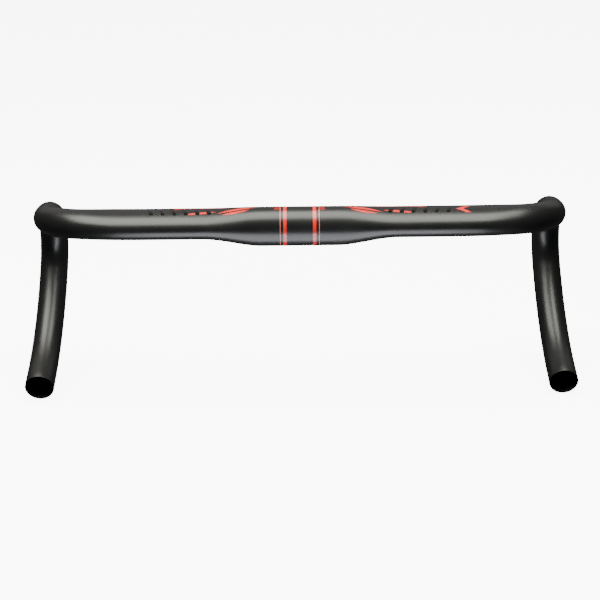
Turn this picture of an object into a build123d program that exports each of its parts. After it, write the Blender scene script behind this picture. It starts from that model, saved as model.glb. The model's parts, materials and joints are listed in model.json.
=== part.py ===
from build123d import *
import os
from math import cos, degrees, radians, sin

# Compact drop handlebar for a road bicycle: a moulded centre section and two moulded drops, each joined
# to it by a bonded sleeve inside the straight part of the tops, with printed films over the lacquer.
#
# Frame: +X is the rider's right, +Y forward, +Z up. The origin is the middle of the stem clamp's axis.
# Millimetres and degrees. Everything is made for the right half and mirrored in Plane.YZ.

# ---- Driving dimensions -------------------------------------------------------------------------------

# The clamp zone and the tops
clamp_diameter = 31.8
clamp_length = 60.0  # the round, parallel zone that a stem grips
taper_length = 49.0  # from the round clamp zone to the full oval
tops_depth = 36.4  # the oval's long axis
tops_height = 22.8  # the oval's short axis
tops_tilt = 9.0  # the long axis rises this much towards the front
tops_rise = 2.7  # the oval's centre above the clamp's axis

# The line of the bar
ramp_width = 420.0  # between the centrelines where the two ramps begin
sweep_radius = 365.0  # the gentle forward curve outboard of the straight tops
sweep_angle = 9.0
corner_radius = 45.5  # the tight turn forward
round_by = 45.0  # the oval has become round this far round the corner
toe_out = 1.6  # the ramps point this much away from each other
ramp_slope = 5.4  # the ramps fall this much towards the front
ramp_length = 5.0
hook_radius = 38.0
hook_angle = 114.0
drop_radius = 147.0  # the long curve from the hook to the end
end_slope = 19.5  # the open ends fall this much towards the rear
end_length = 18.0  # the straight end that a bar plug fills
flare = 3.1  # the drops lean this much outwards
tube_diameter = 24.0  # the round tube, from the corner's second half to the open end

# Walls
clamp_wall = 2.6
tops_wall = 2.2
tube_wall = 1.8
rim_chamfer = 0.35  # on both edges of each cut end

# The bonded sleeve inside each joint
sleeve_length = 30.0
sleeve_wall = 1.6
bond_gap = 0.15  # the adhesive, all round the sleeve

# Printed films over the lacquer
film = 0.05
band_offset = 11.8  # the red bands, from the middle of the bar
band_width = 2.7
pinstripe_offset = 15.6
pinstripe_width = 0.5
scale_gap = 0.5  # between a pinstripe and the marks of the angle scale
long_mark = 9.4
short_mark = 3.8
mark_thickness = 0.45
short_pitch = 4.8  # degrees between marks
marks_per_long = 2  # every second mark is a long one
scale_from = -28.8  # degrees above the forward direction
scale_to = 110.4
long_to = 68.0  # no long mark above this
badge_angle = 28.5  # the badge's middle, above the forward direction
badge_width = 20.0
badge_height = 14.6
badge_rim_width = 0.7
badge_clearance = 1.6  # between the badge and the broken ends of the bands
graphic_centre = -3.2  # the middle line of the top graphics, fore and aft
bar_pitch = 9.3  # the plain slanted bars of the top graphics
bar_length = 11.4
bar_width = 3.0
bar_lean = -18.0
print_gap = 0.4  # bare lacquer left between two colours

# Lofts pass through this many steps between their two ends
taper_steps = 8
fade_steps = 12

# ---- Values worked out from them ----------------------------------------------------------------------

taper_start = clamp_length / 2
taper_end = taper_start + taper_length
tops_end = (
    ramp_width / 2
    - sweep_radius * sin(radians(sweep_angle))
    - corner_radius * (cos(radians(toe_out)) - sin(radians(sweep_angle)))
)
joint_x = (taper_end + tops_end) / 2
corner_angle = 90 - toe_out - sweep_angle
fade_in_sweep = sweep_radius * radians(sweep_angle / 2)  # the fade's length before the corner
fade_length = fade_in_sweep + corner_radius * radians(round_by)
drop_angle = 180 - ramp_slope - end_slope - hook_angle
far = 2 * ramp_width  # longer than anything that it cuts


# ---- The centreline: one plane at the start of each stretch, its Z along the bar, its X to the inside --


def moved(at, length):
    """The plane `at` carried forward along its own Z."""
    return Plane(at.origin + at.z_dir * length, x_dir=at.x_dir, z_dir=at.z_dir)


def turned(at, radius, angle):
    """The plane `at` carried round an arc that curves towards its own X."""
    c, s = cos(radians(angle)), sin(radians(angle))
    return Plane(
        at.origin + at.x_dir * (radius * (1 - c)) + at.z_dir * (radius * s),
        x_dir=at.x_dir * c - at.z_dir * s,
        z_dir=at.z_dir * c + at.x_dir * s,
    )


forward_and_down = Vector(0, cos(radians(ramp_slope)), -sin(radians(ramp_slope)))
sweep_at = Plane((tops_end, 0, tops_rise), x_dir=forward_and_down, z_dir=(1, 0, 0))
fade_at = turned(sweep_at, sweep_radius, sweep_angle / 2)
corner_at = turned(fade_at, sweep_radius, sweep_angle / 2)
round_at = turned(corner_at, corner_radius, round_by)
ramp_at = turned(corner_at, corner_radius, corner_angle)

# The hook turns in a plane that holds the ramp's direction and leans out by the flare.
leaning_down = Vector(sin(radians(flare)), 0, -cos(radians(flare)))
across_ramp = leaning_down - ramp_at.z_dir * leaning_down.dot(ramp_at.z_dir)
hook_at = Plane(moved(ramp_at, ramp_length).origin, x_dir=across_ramp.normalized(), z_dir=ramp_at.z_dir)
drop_at = turned(hook_at, hook_radius, hook_angle)
end_at = turned(drop_at, drop_radius, drop_angle)
tip_at = moved(end_at, end_length)


# ---- Solids along the right half, all from the same sections set in or out ----------------------------


def between(start, end, share):
    """The value `share` of the way from start to end."""
    return start + (end - start) * share


def eased(share):
    """A share that leaves 0 and reaches 1 without a kink."""
    return share * share * (3 - 2 * share)


def shares(steps):
    """The shares at which a loft of so many steps has its sections."""
    return [i / steps for i in range(steps + 1)]


def straight(section, at, length):
    """The section pushed along a straight stretch."""
    return extrude(at * section, amount=length, dir=at.z_dir)


def bend(section, at, radius, angle):
    """The section turned along an arc."""
    axis = Axis(at.origin + at.x_dir * radius, at.z_dir.cross(at.x_dir))
    return revolve(at * section, axis, revolution_arc=angle)


def taper_section(share, clamp_inset, tops_inset):
    """The section between the round clamp zone (0) and the oval tops (1)."""
    ease = eased(share)
    inset = between(clamp_inset, tops_inset, ease)
    at = Plane(
        (between(taper_start, taper_end, share), 0, tops_rise * ease),
        x_dir=(0, 1, 0),
        z_dir=(1, 0, 0),
    )
    depth = between(clamp_diameter, tops_depth, ease) / 2
    height = between(clamp_diameter, tops_height, ease) / 2
    return at * Rot(Z=tops_tilt) * Ellipse(depth - inset, height - inset)


def fade_plane(share):
    """The plane between the middle of the sweep (0) and the place in the corner where the tube is round (1)."""
    length = share * fade_length
    if length < fade_in_sweep:
        return turned(fade_at, sweep_radius, degrees(length / sweep_radius))
    return turned(corner_at, corner_radius, degrees((length - fade_in_sweep) / corner_radius))


def fade_section(share, tops_inset, tube_inset):
    """The section between the oval tops (0) and the round tube (1)."""
    ease = eased(share)
    inset = between(tops_inset, tube_inset, ease)
    depth = between(tops_depth, tube_diameter, ease) / 2
    height = between(tops_height, tube_diameter, ease) / 2
    return fade_plane(share) * Rot(Z=ramp_slope + tops_tilt) * Ellipse(depth - inset, height - inset)


def half_bar(clamp_inset=0.0, tops_inset=0.0, tube_inset=0.0):
    """The right half of the bar as one solid, set in from the outer skin by a depth for each zone."""
    clamp = Circle(clamp_diameter / 2 - clamp_inset)
    flat_oval = Rot(Z=tops_tilt) * Ellipse(tops_depth / 2 - tops_inset, tops_height / 2 - tops_inset)
    swept_oval = Rot(Z=ramp_slope) * flat_oval
    tube = Circle(tube_diameter / 2 - tube_inset)
    taper_end_at = Plane((taper_end, 0, tops_rise), x_dir=(0, 1, 0), z_dir=(1, 0, 0))
    stretches = [
        loft([taper_section(share, clamp_inset, tops_inset) for share in shares(taper_steps)]),
        straight(flat_oval, taper_end_at, tops_end - taper_end),
        bend(swept_oval, sweep_at, sweep_radius, sweep_angle / 2),
        loft([fade_section(share, tops_inset, tube_inset) for share in shares(fade_steps)]),
        bend(tube, round_at, corner_radius, corner_angle - round_by),
        straight(tube, ramp_at, ramp_length),
        bend(tube, hook_at, hook_radius, hook_angle),
        bend(tube, drop_at, drop_radius, drop_angle),
        straight(tube, end_at, end_length),
    ]
    return straight(clamp, Plane.YZ, taper_start) + stretches


def slab(start, end):
    """Everything between two places along X."""
    return Pos((start + end) / 2, 0, 0) * Box(end - start, far, far)


def set_in(depth):
    """The right half of the bar, set in past the wall by a depth."""
    return half_bar(clamp_wall + depth, tops_wall + depth, tube_wall + depth)


skin = half_bar()
bore = set_in(0)
half_tube = skin - bore
film_layer = half_bar(-film, -film, -film) - skin


# ---- Structure ----------------------------------------------------------------------------------------


def centre_section():
    """The moulding that the stem grips, out to the two joints."""
    half = half_tube & slab(0, joint_x)
    return half + mirror(half, about=Plane.YZ)


def drop():
    """The moulded drop: the outer part of the tops, the corner, the ramp, the hook and the open end."""
    tube = half_tube & slab(joint_x, far)
    rim = tube.edges().filter_by(lambda e: abs(tip_at.to_local_coords(e.center()).Z) < 0.01)
    rim = rim.filter_by(lambda e: (e.center() - tip_at.origin).length < tube_diameter)
    return chamfer(rim, rim_chamfer)


def joint_sleeve():
    """The sleeve bonded inside the tops, half in the centre section and half in the drop."""
    wall = set_in(bond_gap) - set_in(bond_gap + sleeve_wall)
    return wall & slab(joint_x - sleeve_length / 2, joint_x + sleeve_length / 2)


def bond_film():
    """The adhesive between the sleeve and both mouldings."""
    layer = bore - set_in(bond_gap)
    return layer & slab(joint_x - sleeve_length / 2, joint_x + sleeve_length / 2)


# ---- Printed films on the clamp zone ------------------------------------------------------------------


def clamp_film(start, end):
    """A band of film right round the clamp zone."""
    ring = Circle(clamp_diameter / 2 + film) - Circle(clamp_diameter / 2)
    return straight(ring, moved(Plane.YZ, start), end - start)


def facing(angle):
    """A plane on the clamp's axis that faces a direction above the forward one, its X along the bar."""
    return Plane((0, 0, 0), x_dir=(1, 0, 0), z_dir=(0, cos(radians(angle)), sin(radians(angle))))


def clamp_band():
    """The red band, broken at the front where the badge sits."""
    band = clamp_film(band_offset - band_width / 2, band_offset + band_width / 2)
    gap = Rectangle(far, badge_height + 2 * badge_clearance)
    return band - extrude(facing(badge_angle) * gap, amount=clamp_diameter)


def pinstripe():
    """The thin stripe that runs right round, outboard of the band."""
    return clamp_film(pinstripe_offset - pinstripe_width / 2, pinstripe_offset + pinstripe_width / 2)


def angle_scale():
    """The marks that are read against the stem's face plate, each one its own small film."""
    start = pinstripe_offset + pinstripe_width / 2 + scale_gap
    marks = []
    for i in range(round((scale_to - scale_from) / short_pitch) + 1):
        angle = scale_from + i * short_pitch
        is_long = i % marks_per_long == 0 and angle < long_to
        ring = clamp_film(start, start + (long_mark if is_long else short_mark))
        cut = extrude(facing(angle) * Rectangle(far, mark_thickness), amount=clamp_diameter)
        marks.append(ring & cut)
    return marks


def badge_outline(inset):
    """The badge's plain oval, set in from its edge."""
    return Ellipse(badge_width / 2 - inset, badge_height / 2 - inset)


def on_badge(outline):
    """The part of the clamp's film that lies under an outline at the badge's place."""
    cut = extrude(facing(badge_angle) * outline, amount=clamp_diameter)
    return clamp_film(-badge_width, badge_width) & cut


# ---- Printed films on the tops ------------------------------------------------------------------------


def leaf(start, end, first_bulge, second_bulge):
    """A streak with two pointed ends: two arcs that bulge by different amounts to the same side."""
    chord = Vector(*end) - Vector(*start)
    middle = (Vector(*start) + Vector(*end)) / 2
    side = Vector(-chord.Y, chord.X).normalized()
    outer = ThreePointArc(start, middle + side * first_bulge, end)
    inner = ThreePointArc(end, middle + side * second_bulge, start)
    return make_face([outer, inner])


def slanted_bars(count, start, grown=0.0):
    """A row of plain bars with round ends that lean from straight across the tops."""
    outline = Rot(Z=90 + bar_lean) * SlotOverall(bar_length + 2 * grown, bar_width + 2 * grown)
    return [Pos(start + bar_pitch * i, graphic_centre) * outline for i in range(count)]


def on_tops(outlines):
    """The parts of the tops' film that lie under outlines drawn in plan."""
    return [film_layer & extrude(outline, amount=clamp_diameter) for outline in outlines]


streaks = [
    leaf((33, 2.4), (58, 3.6), 3.0, 0.9),
    leaf((34, -1.0), (66, -7.6), 2.4, -0.4),
    leaf((40, -4.6), (62, -9.2), 0.6, -1.8),
    leaf((60, 1.2), (88, 2.6), 3.2, 1.1),
    leaf((67, -5.2), (92, -8.2), 1.6, -1.2),
    leaf((84, 4.2), (104, 0.4), 1.9, -0.1),
]
bar_row = {"count": 6, "start": 73.5}
bars = slanted_bars(**bar_row)
clear_of_bars = [streak - slanted_bars(**bar_row, grown=print_gap) for streak in streaks]
chevron = Pos(130.5, graphic_centre) * make_face(
    Polyline((-5.5, 0), (2.5, 5.2), (6.5, 5.2), (0.5, 0), (6.5, -5.2), (2.5, -5.2), close=True)
)


# ---- Every piece, by name -----------------------------------------------------------------------------

pieces = {
    "centre_section": centre_section(),
    "centre_badge": on_badge(badge_outline(badge_rim_width)),
    "badge_rim": on_badge(badge_outline(0) - badge_outline(badge_rim_width)),
    "right_top_chevron": on_tops([chevron]),
}
halves = {
    "drop": drop(),
    "joint_sleeve": joint_sleeve(),
    "bond_film": bond_film(),
    "clamp_band": clamp_band(),
    "pinstripe": pinstripe(),
    "angle_scale": angle_scale(),
    "top_streaks": on_tops(clear_of_bars),
    "top_bars": on_tops(bars),
}


def as_one(shapes):
    """One shape to write, from one solid or a group of separate ones."""
    return Compound(children=list(shapes)) if isinstance(shapes, list) else shapes


for name, shapes in halves.items():
    pieces["right_" + name] = shapes
    pieces["left_" + name] = mirror(as_one(shapes), about=Plane.YZ)

os.makedirs("parts", exist_ok=True)
for name, shapes in pieces.items():
    export_step(as_one(shapes), f"parts/{name}.step")
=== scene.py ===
"""Drop handlebar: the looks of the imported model, in the model's own frame.

+X is the rider's right, +Y forward and +Z up, in metres, with the origin in the middle of the stem
clamp. The centre moulding and the two drops are drawn out here as fine smooth skins that stand for the
packed ones. The printed films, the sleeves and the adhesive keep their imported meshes.
"""
import json
import logging
from dataclasses import dataclass, field
from enum import Enum
from math import cos, pi, radians, sin
from typing import Any

import bpy
from mathutils import Matrix, Vector

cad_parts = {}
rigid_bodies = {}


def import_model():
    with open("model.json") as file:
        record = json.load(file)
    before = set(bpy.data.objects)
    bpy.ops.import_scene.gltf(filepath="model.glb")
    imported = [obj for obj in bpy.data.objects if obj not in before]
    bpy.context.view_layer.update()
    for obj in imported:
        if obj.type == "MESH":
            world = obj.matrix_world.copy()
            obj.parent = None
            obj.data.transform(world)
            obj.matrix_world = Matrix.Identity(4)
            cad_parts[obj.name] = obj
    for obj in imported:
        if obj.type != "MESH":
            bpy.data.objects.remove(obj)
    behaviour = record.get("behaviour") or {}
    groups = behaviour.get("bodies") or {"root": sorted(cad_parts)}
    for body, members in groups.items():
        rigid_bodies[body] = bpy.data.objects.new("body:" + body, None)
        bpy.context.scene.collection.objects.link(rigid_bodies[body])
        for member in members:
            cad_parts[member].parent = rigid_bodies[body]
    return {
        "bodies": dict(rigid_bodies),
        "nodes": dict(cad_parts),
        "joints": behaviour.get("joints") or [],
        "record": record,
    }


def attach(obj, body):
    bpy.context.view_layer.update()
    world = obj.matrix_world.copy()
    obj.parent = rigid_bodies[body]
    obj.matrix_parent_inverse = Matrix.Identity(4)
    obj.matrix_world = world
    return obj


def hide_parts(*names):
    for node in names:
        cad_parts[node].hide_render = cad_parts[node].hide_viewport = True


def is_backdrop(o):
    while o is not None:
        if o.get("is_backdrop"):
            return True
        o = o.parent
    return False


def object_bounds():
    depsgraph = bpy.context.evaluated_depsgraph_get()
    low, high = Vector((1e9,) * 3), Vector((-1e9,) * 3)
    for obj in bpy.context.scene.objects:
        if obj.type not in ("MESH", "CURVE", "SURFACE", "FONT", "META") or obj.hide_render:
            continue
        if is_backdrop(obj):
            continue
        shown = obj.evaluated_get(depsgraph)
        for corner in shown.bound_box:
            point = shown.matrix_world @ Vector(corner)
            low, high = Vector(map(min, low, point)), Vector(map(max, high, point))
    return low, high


log = logging.getLogger("drop_handlebar")
MM = 0.001
SAME_PLACE = 0.001 * MM
ON_MIRROR_PLANE = 0.01 * MM
CRISP_EDGE = radians(30)
NOISE_RANGE = (0.3, 0.7)
Colour = tuple[float, float, float]


class Side(Enum):
    """A side of the bar, by the sign of its X."""

    LEFT = -1
    RIGHT = 1

    @property
    def label(self) -> str:
        """The side's name as the nodes have it."""
        return self.name.lower()


# ---- The bar's line ------------------------------------------------------------------------------------


@dataclass(frozen=True)
class Station:
    """A place on the centreline of the right half.

    Attributes:
        origin: The place.
        inward: Unit vector towards the inside of the bend that starts here.
        along: Unit vector along the bar, away from the stem.
    """

    origin: Vector
    inward: Vector
    along: Vector

    def turned(self, radius: float, angle: float) -> "Station":
        """This station carried round its bend.

        Args:
            radius: Of the centreline.
            angle: In radians.

        Returns:
            The new station.
        """
        c, s = cos(angle), sin(angle)
        return Station(
            self.origin + self.inward * (radius * (1 - c)) + self.along * (radius * s),
            self.inward * c - self.along * s,
            self.along * c + self.inward * s,
        )

    def axes(self, tilt: float) -> Matrix:
        """The long, short and lengthwise axes of an oval section, as columns.

        Args:
            tilt: The long axis's angle from `inward`, in radians.

        Returns:
            A 3 x 3 rotation.
        """
        side = self.along.cross(self.inward)
        long_axis = self.inward * cos(tilt) + side * sin(tilt)
        short_axis = side * cos(tilt) - self.inward * sin(tilt)
        return Matrix((long_axis, short_axis, self.along)).transposed()


@dataclass(frozen=True)
class BarShape:
    """The bar's sizes, in metres and radians."""

    clamp_radius: float = 15.9 * MM
    taper_start: float = 30 * MM
    taper_length: float = 49 * MM
    tops: tuple[float, float] = (18.2 * MM, 11.4 * MM)
    tops_tilt: float = radians(9)
    tops_rise: float = 2.7 * MM
    ramp_x: float = 210 * MM
    sweep_radius: float = 365 * MM
    sweep_angle: float = radians(9)
    corner_radius: float = 45.5 * MM
    round_by: float = radians(45)
    toe_out: float = radians(1.6)
    ramp_slope: float = radians(5.4)
    ramp_length: float = 5 * MM
    hook_radius: float = 38 * MM
    hook_angle: float = radians(114)
    drop_radius: float = 147 * MM
    end_slope: float = radians(19.5)
    end_length: float = 18 * MM
    flare: float = radians(3.1)
    tube_radius: float = 12 * MM
    clamp_wall: float = 2.6 * MM
    tops_wall: float = 2.2 * MM
    tube_wall: float = 1.8 * MM
    lip: float = 0.35 * MM

    @property
    def taper_end(self) -> float:
        """X of the full oval's inner end."""
        return self.taper_start + self.taper_length

    @property
    def tops_end(self) -> float:
        """X of the straight tops' outer end."""
        turn = self.corner_radius * (cos(self.toe_out) - sin(self.sweep_angle))
        return self.ramp_x - self.sweep_radius * sin(self.sweep_angle) - turn

    @property
    def joint_x(self) -> float:
        """X of the joint between the centre moulding and a drop."""
        return (self.taper_end + self.tops_end) / 2

    @property
    def corner_angle(self) -> float:
        """How far the tight corner turns."""
        return pi / 2 - self.toe_out - self.sweep_angle

    @property
    def drop_angle(self) -> float:
        """How far the long curve of the drop turns."""
        return pi - self.ramp_slope - self.end_slope - self.hook_angle

    def on_tops(self, x: float) -> Station:
        """The station on the straight tops.

        Args:
            x: Its distance from the middle.

        Returns:
            The station.
        """
        return Station(Vector((x, 0, self.tops_rise)), Vector((0, 1, 0)), Vector((1, 0, 0)))

    def leaned(self, ramp_end: Station) -> Station:
        """The station at the end of the ramp, with its bend plane leaned out by the flare.

        Args:
            ramp_end: The station as the ramp leaves it.

        Returns:
            The station that the hook starts from.
        """
        down = Vector((sin(self.flare), 0, -cos(self.flare)))
        across = down - ramp_end.along * down.dot(ramp_end.along)
        return Station(ramp_end.origin, across.normalized(), ramp_end.along)


def eased(share: float) -> float:
    """A share that leaves 0 and reaches 1 without a kink.

    Args:
        share: From 0 to 1.

    Returns:
        The eased share.
    """
    return share * share * (3 - 2 * share)


# ---- Drawing out a skin --------------------------------------------------------------------------------


@dataclass
class RingWalk:
    """A ring of vertices that is pulled along the bar and leaves a skin behind it.

    Attributes:
        at: Where the ring is.
        oval: The ring's half lengths along its long and short axes.
        tilt: The long axis's angle from the station's inward vector.
        points: How many vertices the ring has.
    """

    at: Station
    oval: tuple[float, float]
    tilt: float
    points: int = 96

    def start(self) -> bpy.types.Object:
        """Adds the first ring and leaves it selected in edit mode.

        Returns:
            The new object.
        """
        bpy.ops.object.select_all(action="DESELECT")
        turn = self.at.axes(self.tilt).to_euler()
        bpy.ops.mesh.primitive_circle_add(
            vertices=self.points, radius=1, fill_type="NOTHING", location=self.at.origin, rotation=turn
        )
        skin = bpy.context.object
        skin.scale = (*self.oval, 1)
        bpy.ops.object.transform_apply(location=True, rotation=True, scale=True)
        bpy.ops.object.mode_set(mode="EDIT")
        bpy.ops.mesh.select_all(action="SELECT")
        return skin

    def push(self, length: float, rings: int = 1, rise: float = 0.0) -> None:
        """Pulls the ring straight on.

        Args:
            length: How far.
            rings: How many rings it leaves.
            rise: How far it climbs on the way.
        """
        step = (self.at.along * length + Vector((0, 0, rise))) / rings
        for _ in range(rings):
            bpy.ops.mesh.extrude_region_move(TRANSFORM_OT_translate={"value": step})
        self.at = Station(self.at.origin + step * rings, self.at.inward, self.at.along)

    def bend(self, radius: float, angle: float, rings: int) -> None:
        """Pulls the ring round a bend.

        Args:
            radius: Of the centreline.
            angle: In radians.
            rings: How many rings it leaves.
        """
        centre = self.at.origin + self.at.inward * radius
        bpy.ops.mesh.spin(steps=rings, angle=angle, center=centre, axis=self.at.inward.cross(self.at.along))
        self.at = self.at.turned(radius, angle)

    def reshape(self, oval: tuple[float, float]) -> None:
        """Gives the ring other half lengths.

        Args:
            oval: Along the long and short axes.
        """
        bpy.ops.transform.resize(
            value=(oval[0] / self.oval[0], oval[1] / self.oval[1], 1),
            orient_type="GLOBAL",
            orient_matrix=self.at.axes(self.tilt),
            orient_matrix_type="GLOBAL",
            center_override=self.at.origin,
        )
        self.oval = oval

    def face_to(self, oval: tuple[float, float]) -> None:
        """Spans a flat face from the ring to another size in the same plane.

        Args:
            oval: Along the long and short axes.
        """
        bpy.ops.mesh.extrude_region_move(TRANSFORM_OT_translate={"value": (0, 0, 0)})
        self.reshape(oval)

    def roll_lip(self, radius: float, inwards: int, steps: int = 4) -> None:
        """Rounds the edge of the open end.

        Args:
            radius: Of the rounding.
            inwards: 1 to shrink the ring, -1 to widen it.
            steps: Rings in the rounding.
        """
        start = self.oval[0]
        for i in range(1, steps + 1):
            angle, before = pi / 2 * i / steps, pi / 2 * (i - 1) / steps
            self.push(radius * (sin(angle) - sin(before)))
            size = start - inwards * radius * (1 - cos(angle))
            self.reshape((size, size))


def between(start: tuple[float, float], end: tuple[float, float], share: float) -> tuple[float, float]:
    """The oval that is a share of the way from one to another.

    Args:
        start: The first oval's half lengths.
        end: The last oval's half lengths.
        share: From 0 to 1.

    Returns:
        The oval's half lengths.
    """
    return (start[0] + (end[0] - start[0]) * share, start[1] + (end[1] - start[1]) * share)


def set_in(oval: tuple[float, float], depth: float) -> tuple[float, float]:
    """An oval set in from the skin.

    Args:
        oval: The half lengths.
        depth: How far in.

    Returns:
        The smaller half lengths.
    """
    return (oval[0] - depth, oval[1] - depth)


def leave_edit() -> None:
    """Goes back to object mode."""
    bpy.ops.object.mode_set(mode="OBJECT")


def join_skins(
    outer: bpy.types.Object, inner: bpy.types.Object, outside: bpy.types.Material, inside: bpy.types.Material
) -> None:
    """Joins an outer and an inner skin that end in the same rings into one closed wall.

    Args:
        outer: The skin that stays.
        inner: The skin that is joined to it, with the cut faces.
        outside: The outer skin's finish.
        inside: The finish of the bore and the cut faces.
    """
    outer.data.materials.append(outside)
    inner.data.materials.append(inside)
    bpy.ops.object.select_all(action="DESELECT")
    inner.select_set(True)
    outer.select_set(True)
    bpy.context.view_layer.objects.active = outer
    bpy.ops.object.join()
    bpy.ops.object.mode_set(mode="EDIT")
    bpy.ops.mesh.select_all(action="SELECT")
    bpy.ops.mesh.remove_doubles(threshold=SAME_PLACE)
    leave_edit()


def tidy_skin(skin: bpy.types.Object, name: str) -> None:
    """Turns the faces outwards and shades them smooth, with crisp cut ends.

    Args:
        skin: The closed object.
        name: Its new name.
    """
    bpy.ops.object.select_all(action="DESELECT")
    skin.select_set(True)
    bpy.context.view_layer.objects.active = skin
    bpy.ops.object.mode_set(mode="EDIT")
    bpy.ops.mesh.select_mode(type="VERT")
    bpy.ops.mesh.select_all(action="SELECT")
    bpy.ops.mesh.normals_make_consistent(inside=False)
    leave_edit()
    bpy.ops.object.shade_smooth_by_angle(angle=CRISP_EDGE)
    skin.name = name
    log.info("%s: %d faces", name, len(skin.data.polygons))


# ---- The mouldings -------------------------------------------------------------------------------------


@dataclass
class CentreMoulding:
    """The moulding that the stem grips, out to the two joints."""

    shape: BarShape
    outside: bpy.types.Material
    inside: bpy.types.Material
    clamp_rings: int = 6
    taper_rings: int = 28
    straight_rings: int = 2

    def half_skin(self, clamp_inset: float, tops_inset: float) -> bpy.types.Object:
        """Draws the right half of one skin.

        Args:
            clamp_inset: Depth from the outer skin in the clamp zone.
            tops_inset: Depth from the outer skin in the tops.

        Returns:
            The open skin.
        """
        s = self.shape
        clamp = set_in((s.clamp_radius, s.clamp_radius), clamp_inset)
        tops = set_in(s.tops, tops_inset)
        middle = Station(Vector((0, 0, 0)), Vector((0, 1, 0)), Vector((1, 0, 0)))
        walk = RingWalk(middle, clamp, s.tops_tilt)
        skin = walk.start()
        walk.push(s.taper_start, rings=self.clamp_rings)
        done = 0.0
        for i in range(1, self.taper_rings + 1):
            share = eased(i / self.taper_rings)
            walk.push(s.taper_length / self.taper_rings, rise=s.tops_rise * (share - done))
            walk.reshape(between(clamp, tops, share))
            done = share
        walk.push(s.joint_x - s.taper_end, rings=self.straight_rings)
        if tops_inset:
            walk.face_to(s.tops)
        leave_edit()
        return skin

    def build(self) -> bpy.types.Object:
        """Makes the whole moulding.

        Returns:
            The finished object.
        """
        s = self.shape
        outer = self.half_skin(0, 0)
        inner = self.half_skin(s.clamp_wall, s.tops_wall)
        join_skins(outer, inner, self.outside, self.inside)
        mirror = outer.modifiers.new("other_half", "MIRROR")
        mirror.merge_threshold = ON_MIRROR_PLANE
        bpy.ops.object.modifier_apply(modifier=mirror.name)
        tidy_skin(outer, "centre_moulding")
        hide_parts("centre_section")
        return outer


@dataclass
class DropMoulding:
    """A moulded drop: the outer tops, the corner, the ramp, the hook and the open end."""

    shape: BarShape
    side: Side
    outside: bpy.types.Material
    inside: bpy.types.Material
    straight_rings: int = 2
    oval_sweep_rings: int = 6
    fading_sweep_rings: int = 14
    fading_corner_rings: int = 24
    round_corner_rings: int = 16
    hook_rings: int = 44
    drop_rings: int = 20

    def outer_skin(self) -> bpy.types.Object:
        """Draws the outer skin of the right drop.

        Returns:
            The open skin.
        """
        s = self.shape
        walk = RingWalk(s.on_tops(s.joint_x), s.tops, s.tops_tilt)
        skin = walk.start()
        self.draw(walk, s.tops, s.tube_radius, lip_inwards=1)
        leave_edit()
        return skin

    def inner_skin(self) -> bpy.types.Object:
        """Draws the bore of the right drop, with the cut faces at both ends.

        Returns:
            The open skin.
        """
        s = self.shape
        walk = RingWalk(s.on_tops(s.joint_x), s.tops, s.tops_tilt)
        skin = walk.start()
        walk.face_to(set_in(s.tops, s.tops_wall))
        self.draw(walk, walk.oval, s.tube_radius - s.tube_wall, lip_inwards=-1)
        walk.face_to((s.tube_radius - s.lip, s.tube_radius - s.lip))
        leave_edit()
        return skin

    def draw(self, walk: RingWalk, tops: tuple[float, float], tube_radius: float, lip_inwards: int) -> None:
        """Pulls a ring from the joint to the open end.

        Args:
            walk: The ring, at the joint.
            tops: The section's half lengths in the tops.
            tube_radius: The section's radius in the round tube.
            lip_inwards: 1 if the lip closes in, -1 if it opens out.
        """
        s = self.shape
        tube = (tube_radius, tube_radius)
        walk.push(s.tops_end - s.joint_x, rings=self.straight_rings)
        forward_and_down = Vector((0, cos(s.ramp_slope), -sin(s.ramp_slope)))
        walk.at = Station(walk.at.origin, forward_and_down, walk.at.along)
        walk.tilt = s.tops_tilt + s.ramp_slope
        walk.bend(s.sweep_radius, s.sweep_angle / 2, rings=self.oval_sweep_rings)
        in_sweep, in_corner = s.sweep_radius * s.sweep_angle / 2, s.corner_radius * s.round_by
        arcs = [(s.sweep_radius, in_sweep / self.fading_sweep_rings)] * self.fading_sweep_rings
        arcs += [(s.corner_radius, in_corner / self.fading_corner_rings)] * self.fading_corner_rings
        done = 0.0
        for radius, length in arcs:
            walk.bend(radius, length / radius, rings=1)
            done += length
            walk.reshape(between(tops, tube, eased(done / (in_sweep + in_corner))))
        walk.bend(s.corner_radius, s.corner_angle - s.round_by, rings=self.round_corner_rings)
        walk.push(s.ramp_length)
        walk.at = s.leaned(walk.at)
        walk.bend(s.hook_radius, s.hook_angle, rings=self.hook_rings)
        walk.bend(s.drop_radius, s.drop_angle, rings=self.drop_rings)
        walk.push(s.end_length - s.lip, rings=self.straight_rings)
        walk.roll_lip(s.lip, lip_inwards)

    def build(self) -> bpy.types.Object:
        """Makes the whole drop.

        Returns:
            The finished object.
        """
        outer, inner = self.outer_skin(), self.inner_skin()
        join_skins(outer, inner, self.outside, self.inside)
        if self.side is Side.LEFT:
            bpy.ops.transform.resize(value=(-1, 1, 1), center_override=(0, 0, 0))
            bpy.ops.object.transform_apply(location=True, rotation=True, scale=True)
        tidy_skin(outer, f"{self.side.label}_drop_moulding")
        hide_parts(f"{self.side.label}_drop")
        return outer


# ---- Node helpers and shared effects -------------------------------------------------------------------


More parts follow.
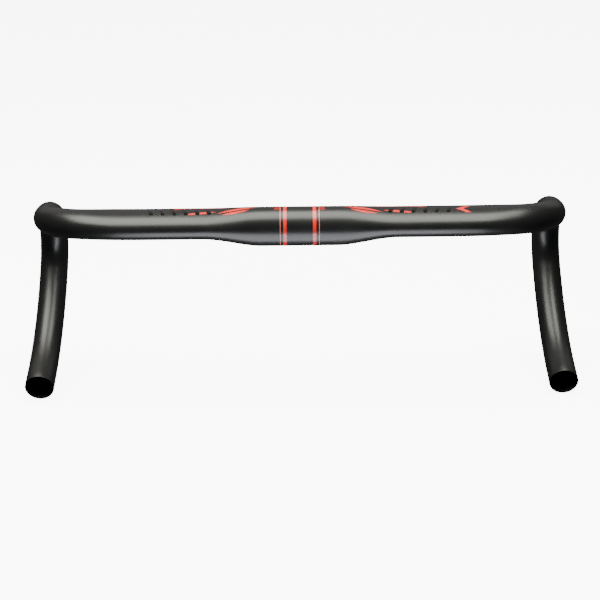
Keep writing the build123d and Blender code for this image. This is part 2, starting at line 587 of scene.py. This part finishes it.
@dataclass
class NodeSheet:
    """A node tree that nodes are added to and joined in."""

    tree: bpy.types.NodeTree

    def add(self, kind: str, **inputs: Any) -> bpy.types.Node:
        """Adds a node.

        Args:
            kind: The node's type.
            inputs: For each input, by its name with spaces as underscores, a value or the socket that
                feeds it.

        Returns:
            The node.
        """
        node = self.tree.nodes.new(kind)
        for name, value in inputs.items():
            self.feed(node, name.replace("_", " "), value)
        return node

    def feed(self, node: bpy.types.Node, name: str, value: Any) -> None:
        """Gives an input its value or joins a socket to it.

        Args:
            node: The node.
            name: The input's name.
            value: A constant or an output socket.
        """
        if isinstance(value, bpy.types.NodeSocket):
            self.tree.links.new(value, node.inputs[name])
        else:
            node.inputs[name].default_value = value

    def ramp(self, factor: bpy.types.NodeSocket, low: float, high: float) -> bpy.types.NodeSocket:
        """Spreads a noise value over a range of values.

        Args:
            factor: The noise.
            low: What it gives at the noise's low end.
            high: What it gives at its high end.

        Returns:
            The output socket.
        """
        start, end = NOISE_RANGE
        node = self.add(
            "ShaderNodeMapRange", Value=factor, From_Min=start, From_Max=end, To_Min=low, To_Max=high
        )
        return node.outputs["Result"]

    def mix(self, factor: bpy.types.NodeSocket, first: Colour, second: Colour) -> bpy.types.NodeSocket:
        """Mixes two colours.

        Args:
            factor: How much of the second.
            first: The first colour.
            second: The second colour.

        Returns:
            The colour socket.
        """
        node = self.tree.nodes.new("ShaderNodeMix")
        node.data_type = "RGBA"
        self.tree.links.new(factor, node.inputs[0])
        node.inputs[6].default_value = (*first, 1)
        node.inputs[7].default_value = (*second, 1)
        return node.outputs[2]


@dataclass(frozen=True)
class SurfaceEffect:
    """A node group with a value that drifts, a fine speckle and a bumped normal.

    Attributes:
        name: The group's name.
        drift_size: Size of the slow patches.
        grain_size: Size of the fine speckle.
        bump_height: How deep the speckle stands.
        stretch: How many times longer the speckle is along X.
    """

    name: str
    drift_size: float
    grain_size: float
    bump_height: float
    stretch: float = 1.0

    def group(self) -> bpy.types.NodeTree:
        """Makes the group, or finds it.

        Returns:
            The group, with outputs Drift, Speckle and Normal.
        """
        if self.name in bpy.data.node_groups:
            return bpy.data.node_groups[self.name]
        tree = bpy.data.node_groups.new(self.name, "ShaderNodeTree")
        for output, kind in (("Drift", "Float"), ("Speckle", "Float"), ("Normal", "Vector")):
            tree.interface.new_socket(output, in_out="OUTPUT", socket_type=f"NodeSocket{kind}")
        sheet = NodeSheet(tree)
        place = sheet.add("ShaderNodeTexCoord").outputs["Object"]
        drift = sheet.add("ShaderNodeTexNoise", Vector=place, Scale=1 / self.drift_size, Detail=3.0)
        stretched = sheet.add("ShaderNodeMapping", Vector=place, Scale=(1 / self.stretch, 1, 1))
        grain = sheet.add(
            "ShaderNodeTexNoise", Vector=stretched.outputs[0], Scale=1 / self.grain_size, Detail=2.0
        )
        bump = sheet.add("ShaderNodeBump", Distance=self.bump_height, Height=grain.outputs["Fac"])
        out = sheet.add("NodeGroupOutput")
        sheet.feed(out, "Drift", drift.outputs["Fac"])
        sheet.feed(out, "Speckle", grain.outputs["Fac"])
        sheet.feed(out, "Normal", bump.outputs["Normal"])
        return tree


ORANGE_PEEL = SurfaceEffect("orange_peel", drift_size=30 * MM, grain_size=1.1 * MM, bump_height=0.0035 * MM)
INK_FILM = SurfaceEffect("ink_film", drift_size=6 * MM, grain_size=0.5 * MM, bump_height=0.0015 * MM)
FIBRE_FLOW = SurfaceEffect(
    "fibre_flow", drift_size=8 * MM, grain_size=0.25 * MM, bump_height=0.006 * MM, stretch=12
)


# ---- Finishes ------------------------------------------------------------------------------------------


@dataclass(frozen=True)
class Finish:
    """A surface finish.

    Attributes:
        name: The material's name, which is also the record's slot.
        colour: Linear colour.
        deep_colour: The colour that it drifts towards.
        roughness: In its smoothest patches.
        rough_patches: In its roughest patches.
        effect: The shared effect that its surface has.
        gloss: Weight of a clear coat over it.
        metallic: 1 for a metal ink.
        ior: Of the outer surface.
    """

    name: str
    colour: Colour
    deep_colour: Colour
    roughness: float
    rough_patches: float
    effect: SurfaceEffect
    gloss: float = 0.0
    metallic: float = 0.0
    ior: float = 1.5

    def build(self) -> bpy.types.Material:
        """Makes the material.

        Returns:
            The material.
        """
        material = bpy.data.materials.new(self.name)
        material.use_nodes = True
        sheet = NodeSheet(material.node_tree)
        shader = material.node_tree.nodes["Principled BSDF"]
        surface = sheet.add("ShaderNodeGroup")
        surface.node_tree = self.effect.group()
        patches = sheet.ramp(surface.outputs["Drift"], 0.0, 1.0)
        sheet.feed(shader, "Base Color", sheet.mix(patches, self.colour, self.deep_colour))
        rough = sheet.ramp(surface.outputs["Drift"], self.roughness, self.rough_patches)
        sheet.feed(shader, "Roughness", rough)
        sheet.feed(shader, "Normal", surface.outputs["Normal"])
        sheet.feed(shader, "Coat Weight", self.gloss)
        sheet.feed(shader, "Coat Roughness", self.roughness / 2)
        sheet.feed(shader, "Metallic", self.metallic)
        sheet.feed(shader, "IOR", self.ior)
        return material


FINISHES = [
    Finish("charcoal_lacquer", (0.0075, 0.0076, 0.0078), (0.0095, 0.0095, 0.0093), 0.33, 0.37, ORANGE_PEEL),
    Finish("bare_laminate", (0.008, 0.008, 0.009), (0.02, 0.02, 0.021), 0.5, 0.65, FIBRE_FLOW, ior=1.2),
    Finish("adhesive", (0.32, 0.29, 0.2), (0.24, 0.21, 0.13), 0.3, 0.5, INK_FILM),
    Finish("red_print", (0.85, 0.03, 0.014), (0.72, 0.02, 0.011), 0.3, 0.36, INK_FILM, gloss=0.6),
    Finish("pale_red_print", (0.85, 0.24, 0.17), (0.78, 0.19, 0.13), 0.3, 0.36, INK_FILM, gloss=0.6),
    Finish("gloss_black_print", (0.003, 0.003, 0.0032), (0.005, 0.005, 0.005), 0.16, 0.22, INK_FILM),
    Finish("silver_print", (0.62, 0.62, 0.63), (0.5, 0.5, 0.52), 0.26, 0.36, INK_FILM, metallic=1.0),
]


# ---- Studio: camera, lights, floor ---------------------------------------------------------------------


@dataclass
class StudioCamera:
    """The camera behind the bar, a little above it.

    Attributes:
        elevation: Degrees that it looks down.
        roll: Degrees that it leans to its left.
        distance: From the aim point.
        lens: Focal length in millimetres on a 36 mm sensor.
        aim: The point in the middle of the picture.
    """

    elevation: float = 16.88
    roll: float = -0.66
    distance: float = 1.2127
    lens: float = 90.35
    aim: Vector = field(default_factory=lambda: Vector((-0.5, -17.3, -57.1)) * MM)

    def build(self) -> bpy.types.Object:
        """Adds the camera and makes it the scene's.

        Returns:
            The camera object.
        """
        tilt = radians(90 - self.elevation)
        turn = Matrix.Rotation(tilt, 4, "X") @ Matrix.Rotation(radians(self.roll), 4, "Z")
        back = turn.to_3x3() @ Vector((0, 0, self.distance))
        bpy.ops.object.camera_add(location=self.aim + back, rotation=turn.to_euler())
        camera = bpy.context.object
        camera.name = "studio_camera"
        camera.data.lens = self.lens
        bpy.context.scene.camera = camera
        return camera


@dataclass
class Softbox:
    """A rectangular studio light aimed at the bar.

    Attributes:
        name: What the light is called.
        elevation: Degrees up from level behind the bar, 90 straight above, negative from below.
        distance: From the target.
        width: Side to side.
        height: Along the arc over the bar.
        watts: Power.
        colour: Linear red, green and blue.
        across: How far to the rider's right it stands.
    """

    name: str
    elevation: float
    distance: float
    width: float
    height: float
    watts: float
    colour: Colour = (1.0, 1.0, 1.0)
    across: float = 0.0

    def build(self) -> bpy.types.Object:
        """Adds the light.

        Returns:
            The light object.
        """
        turn = Matrix.Rotation(radians(90 - self.elevation), 3, "X")
        place = Vector((self.across, 0, 0)) + turn @ Vector((0, 0, self.distance))
        bpy.ops.object.light_add(type="AREA", location=place, rotation=turn.to_euler())
        light = bpy.context.object
        light.name = self.name
        light.data.shape = "RECTANGLE"
        light.data.size = self.width
        light.data.size_y = self.height
        light.data.energy = self.watts
        light.data.color = self.colour
        light.visible_camera = False
        return light


@dataclass
class ShadeCard:
    """A card under one hook that keeps the low light off its underside.

    Attributes:
        side: Which hook it lies under.
        height: Its Z.
        inner_edge: X of its inner edge.
        middle_y: Y of its middle.
        size: Of its sides.
    """

    side: Side
    height: float
    inner_edge: float = 0.188
    middle_y: float = -0.115
    size: float = 0.45

    def build(self) -> bpy.types.Object:
        """Adds the card, which the camera doesn't see.

        Returns:
            The card.
        """
        place = (self.side.value * (self.inner_edge + self.size / 2), self.middle_y, self.height)
        bpy.ops.mesh.primitive_plane_add(size=self.size, location=place)
        card = bpy.context.object
        card.name = f"{self.side.label}_shade_card"
        card.visible_camera = False
        card.data.materials.append(self.black_paper())
        card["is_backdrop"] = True
        return card

    def black_paper(self) -> bpy.types.Material:
        """The card's dull black paper.

        Returns:
            The material.
        """
        material = bpy.data.materials.new("black_paper")
        material.use_nodes = True
        shader = material.node_tree.nodes["Principled BSDF"]
        shader.inputs["Base Color"].default_value = (0.01, 0.01, 0.01, 1)
        shader.inputs["Roughness"].default_value = 1.0
        shader.inputs["Specular IOR Level"].default_value = 0.0
        return material


@dataclass
class Studio:
    """A white light table that the bar stands on, a dark room round it, shade cards and soft lights."""

    floor_z: float
    card_gap: float = 3 * MM
    floor_size: float = 14.0
    floor_glow: float = 8.0
    backdrop: float = 7.0
    room: float = 0.05

    def build(self) -> None:
        """Adds the floor, the surround, the cards, the lights and the camera."""
        bpy.ops.mesh.primitive_plane_add(size=self.floor_size, location=(0, 0, self.floor_z))
        floor = bpy.context.object
        floor.name = "studio_floor"
        floor.data.materials.append(self.floor_finish())
        floor.visible_glossy = False
        floor.visible_diffuse = False
        floor.visible_shadow = False
        floor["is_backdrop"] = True
        self.light_surround()
        for side in Side:
            ShadeCard(side, self.floor_z - self.card_gap).build()
        for box in self.softboxes():
            box.build()
        StudioCamera().build()

    def floor_finish(self) -> bpy.types.Material:
        """The floor's matt white sheet, lit from below.

        Returns:
            The material.
        """
        material = bpy.data.materials.new("white_sheet")
        material.use_nodes = True
        shader = material.node_tree.nodes["Principled BSDF"]
        shader.inputs["Base Color"].default_value = (0.85, 0.85, 0.85, 1)
        shader.inputs["Roughness"].default_value = 0.9
        shader.inputs["Emission Color"].default_value = (1, 1, 1, 1)
        shader.inputs["Emission Strength"].default_value = self.floor_glow
        return material

    def light_surround(self) -> None:
        """Gives the scene a white backdrop to look at and a dark room to be reflected."""
        world = bpy.data.worlds.new("surround")
        world.use_nodes = True
        sheet = NodeSheet(world.node_tree)
        path = sheet.add("ShaderNodeLightPath")
        seen = path.outputs["Is Camera Ray"]
        level = sheet.add("ShaderNodeMapRange", Value=seen, To_Min=self.room, To_Max=self.backdrop)
        background = world.node_tree.nodes["Background"]
        background.inputs["Color"].default_value = (1, 1, 1, 1)
        sheet.feed(background, "Strength", level.outputs["Result"])
        bpy.context.scene.world = world

    def softboxes(self) -> list[Softbox]:
        """The lights round the bar.

        Returns:
            The lights, not yet built.
        """
        return [
            Softbox("key_softbox", 82, 1.4, 2.0, 1.25, 82.0, (1.0, 0.995, 0.93), across=-0.22),
            Softbox("front_glow", 148, 1.4, 3.0, 0.9, 3.0, (1.0, 0.99, 0.94)),
            Softbox("low_fill", -58.5, 1.2, 0.8, 1.22, 20.5, (0.93, 0.95, 1.0)),
        ]


# ---- Putting it together -------------------------------------------------------------------------------


@dataclass
class Handlebar:
    """The whole bar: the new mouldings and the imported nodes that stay."""

    frame: dict[str, Any]
    shape: BarShape = field(default_factory=BarShape)

    def build(self) -> None:
        """Builds the mouldings and gives every piece its finish."""
        finishes = {finish.name: finish.build() for finish in FINISHES}
        layers = finishes["charcoal_lacquer"], finishes["bare_laminate"]
        mouldings = [CentreMoulding(self.shape, *layers).build()]
        mouldings += [DropMoulding(self.shape, side, *layers).build() for side in Side]
        for moulding in mouldings:
            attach(moulding, "root")
        for row in self.frame["record"]["subparts"]:
            node = self.frame["nodes"][row["node"]]
            node.data.materials.clear()
            node.data.materials.append(finishes[row["material_slot"]])
            log.info("%s: %s", row["node"], row["material_slot"])


def clear_scene() -> None:
    """Removes whatever the session starts with."""
    bpy.ops.object.select_all(action="SELECT")
    bpy.ops.object.delete()


def main() -> None:
    """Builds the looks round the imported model."""
    clear_scene()
    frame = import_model()
    cad_low, cad_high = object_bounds()
    Handlebar(frame).build()
    Studio(floor_z=cad_low.z).build()


if __name__ == "__main__":
    logging.basicConfig(level=logging.INFO, format="%(name)s: %(message)s")
    main()
